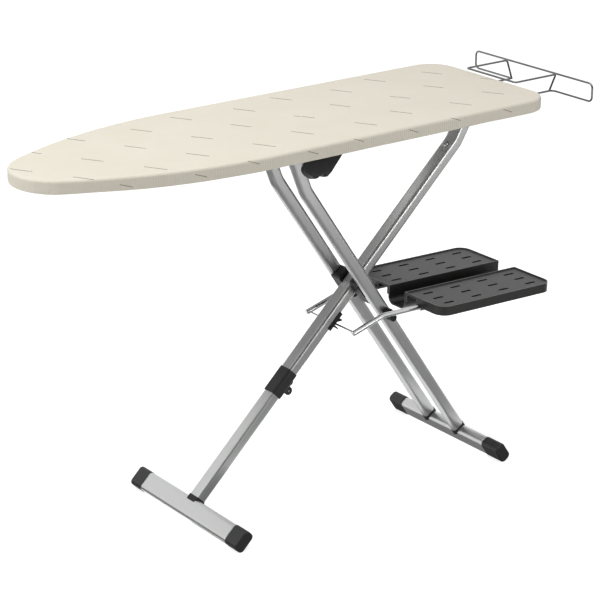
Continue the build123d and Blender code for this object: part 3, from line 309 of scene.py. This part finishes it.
# The cover's section as insets and heights: turned hem, lower fold, upright skirt and upper roll.
cover_profile = [
    (hem_width, skirt_low + 0.0012), (hem_width - 0.003, skirt_low), (0.012, skirt_low + 0.0006),
    (0.004, skirt_low + 0.0002), (0.0012, skirt_low + 0.0012), (0.0002, skirt_low + 0.004),
]
cover_profile += [(0.0002, skirt_low + (roll_low - skirt_low) * i / 6) for i in range(1, 6)]
cover_profile += [
    (edge_roll - edge_roll * math.cos(quarter * i / 7), roll_low + edge_roll * math.sin(quarter * i / 7))
    for i in range(8)
]
cover_points = []
ring_size = len(board_edge(0.0))
for inset, height in cover_profile:
    slack = max(0.0, (roll_low - height) / (roll_low - skirt_low))
    for x, y in board_edge(inset):
        ripple = noise.noise((x * 26, y * 26, height * 8)) * 0.0011 * slack
        lift = noise.noise((x * 9, y * 9, 3.1)) * 0.0016 * slack
        cover_points.append((x, y * (1 - ripple / board_half_width), height + max(lift, -0.0004)))
top_rings = 22
medial_nose, medial_rear = board_nose_x + nose_radius, board_rear_x - 0.2
for ring in range(1, top_rings + 1):
    share = 1 - ring / top_rings
    for x, y in board_edge(edge_roll):
        middle = min(max(x, medial_nose), medial_rear)
        dimple = noise.noise((x * 3.1, y * share * 5.0, 0.7)) * 0.0003
        height = board_top - 0.0004 + dimple * (1 - share)
        cover_points.append((middle + (x - middle) * share, y * share, height))
cover_faces = []
for ring in range(len(cover_profile) + top_rings - 1):
    cover_faces += ring_faces(ring, ring + 1)
cover = mesh_piece("cotton_cover", cover_points, cover_faces, cotton)
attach(cover, "board")
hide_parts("cover")
turned_edge = board_top - skirt_low + hem_width - edge_roll * (2 - math.pi / 2)
cut_edge = board_edge(-turned_edge)

# Hem: a lockstitched casing under the rim that holds the draw cord, with stitches four millimetres long
# every seven. The thread's twist is drawn at two millimetres.
thread, tree, place = piece_material("polyester_thread")
ply_inputs = {"Vector": place, "Scale": 300.0}
ply = add_node(tree, "ShaderNodeTexWave", ply_inputs, wave_type="BANDS", bands_direction="DIAGONAL")
skin(tree, blend(tree, ply.outputs["Fac"], "#b9b29e", "#d8d1bd"), 0.7)


def new_group(name, **sockets):
    """A geometry node group with named inputs, as its tree, its inputs and its output node."""
    group = bpy.data.node_groups.new(name, "GeometryNodeTree")
    group.interface.new_socket("Geometry", in_out="INPUT", socket_type="NodeSocketGeometry")
    for socket_name, kind in sockets.items():
        group.interface.new_socket(socket_name, in_out="INPUT", socket_type="NodeSocket" + kind)
    group.interface.new_socket("Geometry", in_out="OUTPUT", socket_type="NodeSocketGeometry")
    return group, add_node(group, "NodeGroupInput").outputs, add_node(group, "NodeGroupOutput")


def close_group(group, group_out, instances, material):
    """Make instances real, give them their material and send them to the group's output."""
    joined = add_node(group, "GeometryNodeRealizeInstances", {"Geometry": instances})
    dyed = add_node(group, "GeometryNodeSetMaterial", {"Geometry": joined.outputs[0], "Material": material})
    group.links.new(dyed.outputs[0], group_out.inputs[0])


def grown_piece(name, seed, group, values, material):
    """Run a geometry node group on a seed mesh with named values, and keep the result as a plain mesh."""
    seed_piece = bpy.data.objects.new(name + "_seed", seed)
    scene.collection.objects.link(seed_piece)
    modifier = seed_piece.modifiers.new("grow", "NODES")
    modifier.node_group = group
    for item in group.interface.items_tree:
        if item.in_out == "INPUT" and item.name in values:
            modifier[item.identifier] = values[item.name]
    bpy.context.view_layer.update()
    grown = bpy.data.meshes.new_from_object(seed_piece.evaluated_get(bpy.context.evaluated_depsgraph_get()))
    seed_piece.modifiers.remove(modifier)
    bpy.data.objects.remove(seed_piece)
    grown.name = name
    grown.materials.clear()
    grown.materials.append(material)
    piece = bpy.data.objects.new(name, grown)
    scene.collection.objects.link(piece)
    return piece


stitching, given, group_out = new_group(
    "stitch_row", Pitch="Float", Stitch="Float", Radius="Float", Thread="Material",
)
seam = add_node(stitching, "GeometryNodeMeshToCurve", {"Mesh": given["Geometry"]}).outputs[0]
spaced_inputs = {"Curve": seam, "Length": given["Pitch"]}
spaced = add_node(stitching, "GeometryNodeResampleCurve", spaced_inputs, mode="LENGTH").outputs[0]
strand_inputs = {"Vertices": 6, "Radius": given["Radius"], "Depth": given["Stitch"]}
strand = add_node(stitching, "GeometryNodeMeshCylinder", strand_inputs).outputs["Mesh"]
run = add_node(stitching, "GeometryNodeInputTangent").outputs[0]
along = add_node(stitching, "FunctionNodeAlignRotationToVector", {"Vector": run}, axis="Z").outputs[0]
sewn_inputs = {"Points": spaced, "Instance": strand, "Rotation": along}
sewn = add_node(stitching, "GeometryNodeInstanceOnPoints", sewn_inputs).outputs[0]
close_group(stitching, group_out, sewn, given["Thread"])
seam_mesh = bpy.data.meshes.new("hem_seam")
seam_points = [(x, y, skirt_low + 0.0008) for x, y in board_edge(hem_width - 0.005)]
seam_edges = [(i, (i + 1) % len(seam_points)) for i in range(len(seam_points))]
seam_mesh.from_pydata(seam_points, seam_edges, [])
stitch_sizes = {"Pitch": 0.007, "Stitch": 0.004, "Radius": 0.0004, "Thread": thread}
stitches = grown_piece("hem_stitches", seam_mesh, stitching, stitch_sizes, thread)
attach(stitches, "board")

# Pad: a sheet of foam faced with felt, cut to the deck's outline. It lies loose under the cover and
# shows only through the deck's steam openings.
pad_low, pad_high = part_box("pad")
foam, tree, place = piece_material("polyurethane_foam")
# Foam cells of about two millimetres.
cells = add_node(tree, "ShaderNodeTexVoronoi", {"Vector": place, "Scale": 480.0}).outputs["Distance"]
skin(tree, blend(tree, cells, "#d9d5c8", "#bdb8aa"), 0.95, {"Normal": relief(tree, cells, 0.5, 0.0008)})

pad_edge = 0.0055
pad_inset = board_half_width - pad_high.y
pad_turns = [quarter * i / 5 for i in range(6)]
pad_profile = [(0.0, pad_low.z)]
pad_profile += [
    (pad_edge * (1 - math.cos(turn)), pad_high.z - pad_edge + pad_edge * math.sin(turn)) for turn in pad_turns
]
pad_points = [(x, y, height) for inset, height in pad_profile for x, y in board_edge(pad_inset + inset)]
for height in (pad_high.z, pad_low.z):
    for x, y in board_edge(pad_inset + pad_edge):
        pad_points.append((min(max(x, medial_nose), medial_rear), 0.0, height))
pad_rings = len(pad_profile)
pad_faces = []
for ring in range(pad_rings):
    pad_faces += ring_faces(ring, ring + 1)
pad_faces += ring_faces(pad_rings + 1, 0)
pad = mesh_piece("foam_pad", pad_points, pad_faces, foam)
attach(pad, "board")
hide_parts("pad")


# Deck and its fittings: pressed sheet steel with diamond steam openings, guide rails, hangers and
# brackets spot welded below it, all in pale grey powder paint.
def paint_nodes(material, *names):
    """Give carried-over nodes a material."""
    for name in names:
        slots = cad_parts[name].data.materials
        slots.clear()
        slots.append(material)


powder, tree, place = piece_material("grey_powder_paint")
# Powder paint flows out with an orange peel of one to two millimetres.
peel = mottle(tree, place, 700.0)
skin(tree, blend(tree, peel, "#b4b6b8", "#bec0c1"), 0.5, {"Normal": relief(tree, peel, 0.12, 0.0003)})
paint_nodes(
    powder, "deck", "guide_rail_far", "guide_rail_near", "rail_hangers", "hinge_bracket", "lever_brackets",
)


# Pins, axles and the lever's shaft: turned and bent steel with a bright zinc plate, most of it hidden
# under the board and inside the joints.
def between(tree, share, low, high):
    """A value between two, by a pattern."""
    return add_node(tree, "ShaderNodeMapRange", {"Value": share, "To Min": low, "To Max": high}).outputs[0]


zinc, tree, place = piece_material("zinc_plated_steel")
# Zinc spangle of about four millimetres.
spangle = mottle(tree, place, 260.0, 3.0)
skin(tree, blend(tree, spangle, "#a9abac", "#c6c8c9"), between(tree, spangle, 0.24, 0.42), {"Metallic": 1.0})
paint_nodes(
    zinc, "hinge_pin", "trigger_pin", "lock_pin", "slide_axle", "cross_pin", "tray_pivot_pins", "lever_shaft",
    "latch_arm", "leveller_spindle",
)

# Height lever: a black polypropylene paddle on a steel shaft, squeezed up from below. The end caps, the
# collar, the trigger and the levelling end are moulded in the same plastic.
black, tree, place = piece_material("black_polypropylene")
# A spark-eroded mould leaves a grain of about one millimetre.
grain = mottle(tree, place, 900.0)
skin(tree, blend(tree, grain, "#1d1d1e", "#262627"), 0.48, {
    "IOR": 1.49, "Normal": relief(tree, grain, 0.25, 0.0003),
})
paint_nodes(
    black, "collar", "front_cap_far", "front_cap_near", "rear_cap_far", "leveller_socket", "leveller_shoe",
    "leg_trigger", "lever_handle", "rest_sockets", "guide_plug",
)

# Legs and foot bars: drawn steel tube, bent and welded, in satin silver paint with a fine metal flake.
# The front leg is one telescopic tube, the rear leg two tubes side by side.
silver, tree, place = piece_material("silver_flake_paint")
# Metal flakes of a few tenths of a millimetre, drawn at seven tenths so that they still glint.
flake = mottle(tree, place, 1400.0, 1.0)
# The paint's gloss varies slowly, over about seven centimetres.
cloud = mottle(tree, place, 14.0, 3.0)
# The paint flows round the tubes' corners, so their edges shine over eight millimetres.
soft_edge = add_node(tree, "ShaderNodeBevel", {"Radius": 0.008}, samples=16).outputs[0]
flake_bump = relief(tree, flake, 0.06, 0.0002, Normal=soft_edge)
skin(tree, blend(tree, flake, "#c2c3c2", "#d2d3d2"), between(tree, cloud, 0.26, 0.34), {
    "Metallic": 0.9, "Normal": flake_bump,
})
paint_nodes(
    silver, "front_leg_tube", "inner_leg_tube", "rear_leg_tube_far", "rear_leg_tube_near", "front_foot",
    "rear_foot",
)

# Bushes: turned natural nylon, one round the hinge pin and a pair that slides in the guide rails. A haze
# of about three millimetres clouds the plastic.
nylon, tree, place = piece_material("natural_nylon")
haze = mottle(tree, place, 300.0)
skin(tree, blend(tree, haze, "#dcd8ca", "#e6e2d6"), 0.42)
paint_nodes(nylon, "hinge_bush", "slide_bushes")

# Saddles and brackets: black nylon mouldings that part the legs at their crossing and carry the tray's
# arms. Glass fibre leaves a faint swirl of about four millimetres.
black_nylon, tree, place = piece_material("black_nylon")
swirl = mottle(tree, place, 260.0, 3.0, Distortion=1.2)
skin(tree, blend(tree, swirl, "#0c0c0d", "#161617"), between(tree, swirl, 0.42, 0.6), {"IOR": 1.45})
paint_nodes(black_nylon, "cross_saddle_far", "cross_saddle_near", "tray_bracket_far", "tray_bracket_near")

# Rod clip: a nylon saddle snapped over the underside of the front tube, with two prongs that catch the
# rod between the tray's arms. The upper prong slants along the rod's way out when the legs fold.
rod_low, rod_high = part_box("tray_rod")
rod_middle = (rod_low + rod_high) / 2
leg_lean = math.radians(43.8)
leg_up = Vector((math.cos(leg_lean), 0, math.sin(leg_lean)))
leg_below = Vector((math.sin(leg_lean), 0, -math.cos(leg_lean)))
clip_half, tube_half, prong_half = 0.0211, 0.01935, 0.0165
lip_top, tube_under, clip_under = -0.0135, -0.00505, -0.0030
clip_start, clip_end = -0.0225, 0.029
clip_points, clip_faces = [], []


def clip_corner(along, across, below):
    """A point measured from the rod's middle: up the leg, across it and away from its underside."""
    return rod_middle + leg_up * along + Vector((0, across, 0)) + leg_below * below


def add_prism(start_corners, end_corners):
    """Add a closed prism to the clip, from the corners of its two ends."""
    first, count = len(clip_points), len(start_corners)
    clip_points.extend(start_corners + end_corners)
    clip_faces.append(tuple(first + i for i in range(count)))
    clip_faces.append(tuple(first + count + i for i in range(count)))
    for i in range(count):
        j = (i + 1) % count
        clip_faces.append((first + i, first + j, first + count + j, first + count + i))


# The saddle's section runs across the leg and below it, the prongs' sections up the leg and below it.
saddle_section = [
    (-clip_half, lip_top), (-clip_half, clip_under), (clip_half, clip_under), (clip_half, lip_top),
    (tube_half, lip_top), (tube_half, tube_under), (-tube_half, tube_under), (-tube_half, lip_top),
]
add_prism(*[[clip_corner(end, y, below) for y, below in saddle_section] for end in (clip_start, clip_end)])
prong_root = -0.0036
lower_prong = [
    (-0.0072, prong_root), (-0.0033, prong_root), (-0.0031, 0.0160), (-0.0044, 0.0172), (-0.0058, 0.0160),
]
upper_prong = [
    (0.0008, prong_root), (0.0056, prong_root), (0.0196, 0.0098), (0.0196, 0.0116), (0.0176, 0.0122),
]
prong_sides = (-prong_half, prong_half)
for prong_section in (lower_prong, upper_prong):
    add_prism(*[[clip_corner(along, y, below) for along, below in prong_section] for y in prong_sides])
clip = mesh_piece("rod_clip", clip_points, clip_faces, black_nylon, smooth=False)
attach(clip, "front_leg")
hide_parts("rod_fork")

# Gasket and rings: black rubber where the tubes enter the foot bars, with a grey bloom in patches of two
# to three millimetres.
rubber, tree, place = piece_material("black_rubber")
bloom = mottle(tree, place, 400.0)
skin(tree, blend(tree, bloom, "#1b1b1b", "#262626"), 0.7)
paint_nodes(rubber, "foot_gasket", "foot_rings")

# Tray: one dark grey moulding with two slotted wings and a trough between them, grained like leather at
# one to two millimetres.
tray_plastic, tree, place = piece_material("grained_grey_polypropylene")
leather = add_node(tree, "ShaderNodeTexVoronoi", {"Vector": place, "Scale": 620.0}).outputs["Distance"]
tray_tone = blend(tree, leather, "#252524", "#313130")
# Rim and corners are painted paler over about three millimetres, a painted highlight along the edges.
rim_round = add_node(tree, "ShaderNodeBevel", {"Radius": 0.003}, samples=8).outputs[0]
rim_true = add_node(tree, "ShaderNodeNewGeometry").outputs["Normal"]
rim_inputs = {0: rim_round, 1: rim_true}
rim_turn = add_node(tree, "ShaderNodeVectorMath", rim_inputs, operation="DOT_PRODUCT").outputs["Value"]
highlight_range = {"Value": rim_turn, "From Min": 0.99, "From Max": 0.8}
rim_painted_highlight = add_node(tree, "ShaderNodeMapRange", highlight_range).outputs[0]
skin(tree, blend(tree, rim_painted_highlight, tray_tone, "#7c7c7a"), 0.42, {
    "IOR": 1.49, "Normal": relief(tree, leather, 0.4, 0.0005),
})
paint_nodes(tray_plastic, "tray_moulding")

# Painted shade in the slots: near-black floors and walls set into the blind slots, four by three in each
# wing, stand for the shade in these recesses, with dust in specks of two millimetres.
shade, tree, place = piece_material("slot_painted_shadow")
dust = mottle(tree, place, 500.0)
skin(tree, blend(tree, dust, "#0a0a0a", "#161616"), 0.9)
slot_grid, given, group_out = new_group(
    "slot_grid", Columns="Int", Rows="Int", Length="Float", Width="Float", Depth="Float", SpanX="Float",
    SpanY="Float", Finish="Material",
)
lattice = add_node(slot_grid, "GeometryNodeMeshGrid", {
    "Vertices X": given["Columns"], "Vertices Y": given["Rows"],
    "Size X": given["SpanX"], "Size Y": given["SpanY"],
}).outputs["Mesh"]
box_inputs = {"Width": given["Length"], "Height": given["Width"]}
slot_box = add_node(slot_grid, "GeometryNodeCurvePrimitiveQuadrilateral", box_inputs).outputs[0]
end_inputs = {"Curve": slot_box, "Count": 6, "Radius": calc(slot_grid, "MULTIPLY", given["Width"], 0.499)}
rounded = add_node(slot_grid, "GeometryNodeFilletCurve", end_inputs, mode="POLY").outputs[0]
floor = add_node(slot_grid, "GeometryNodeFillCurve", {"Curve": rounded}, mode="NGONS").outputs[0]
rise = add_node(slot_grid, "ShaderNodeCombineXYZ", {"Z": given["Depth"]}).outputs[0]
wall_inputs = {"Mesh": floor, "Offset": rise, "Offset Scale": 1.0}
lined = add_node(slot_grid, "GeometryNodeExtrudeMesh", wall_inputs, mode="EDGES").outputs[0]
spread_inputs = {"Points": lattice, "Instance": lined}
spread = add_node(slot_grid, "GeometryNodeInstanceOnPoints", spread_inputs).outputs[0]
close_group(slot_grid, group_out, spread, given["Finish"])
slot_sizes = {
    "Columns": 4, "Rows": 3, "Length": 0.0327, "Width": 0.0087, "Depth": 0.0019,
    "SpanX": 0.270, "SpanY": 0.080, "Finish": shade,
}
wing_x, wing_y, slot_floor_z = 0.2695, 0.1015, 0.01555
tray_tilt = math.radians(1.84)
pivot_low, pivot_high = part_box("tray_pivot_pins")
tray_turn = Matrix.Translation((pivot_low + pivot_high) / 2) @ Matrix.Rotation(tray_tilt, 4, "Y")
for wing_side, wing_name in ((1, "far"), (-1, "near")):
    grid_seed = bpy.data.meshes.new("slot_seed")
    grid_seed.from_pydata([(0, 0, 0)], [], [])
    slot_painted_shade = grown_piece("slot_painted_shade_" + wing_name, grid_seed, slot_grid, slot_sizes, shade)
    slot_painted_shade.data.transform(tray_turn @ Matrix.Translation((wing_x, wing_side * wing_y, slot_floor_z)))
    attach(slot_painted_shade, "tray")

# Tray arms, their rod and the stud on the front leg: bent steel in bright chrome plate. Smears a thumb's
# width across dull it a little.
chrome, tree, place = piece_material("bright_chrome_plate")
smear = mottle(tree, place, 60.0, 3.0)
skin(tree, blend(tree, smear, "#c0c1c1", "#cfd0d0"), between(tree, smear, 0.1, 0.2), {"Metallic": 1.0})
paint_nodes(chrome, "tray_arm_far", "tray_arm_near", "tray_rod", "dome_stud")

# Iron rest: a bent wire loop and its cradle, in a darker nickel plate. Drawing marks dull the wire in
# patches of four to five millimetres.
nickel, tree, place = piece_material("dull_nickel_plate")
drawn = mottle(tree, place, 220.0)
skin(tree, blend(tree, drawn, "#6a6b6b", "#7a7b7b"), between(tree, drawn, 0.2, 0.34), {"Metallic": 1.0})
paint_nodes(nickel, "rest_loop", "rest_cradle")
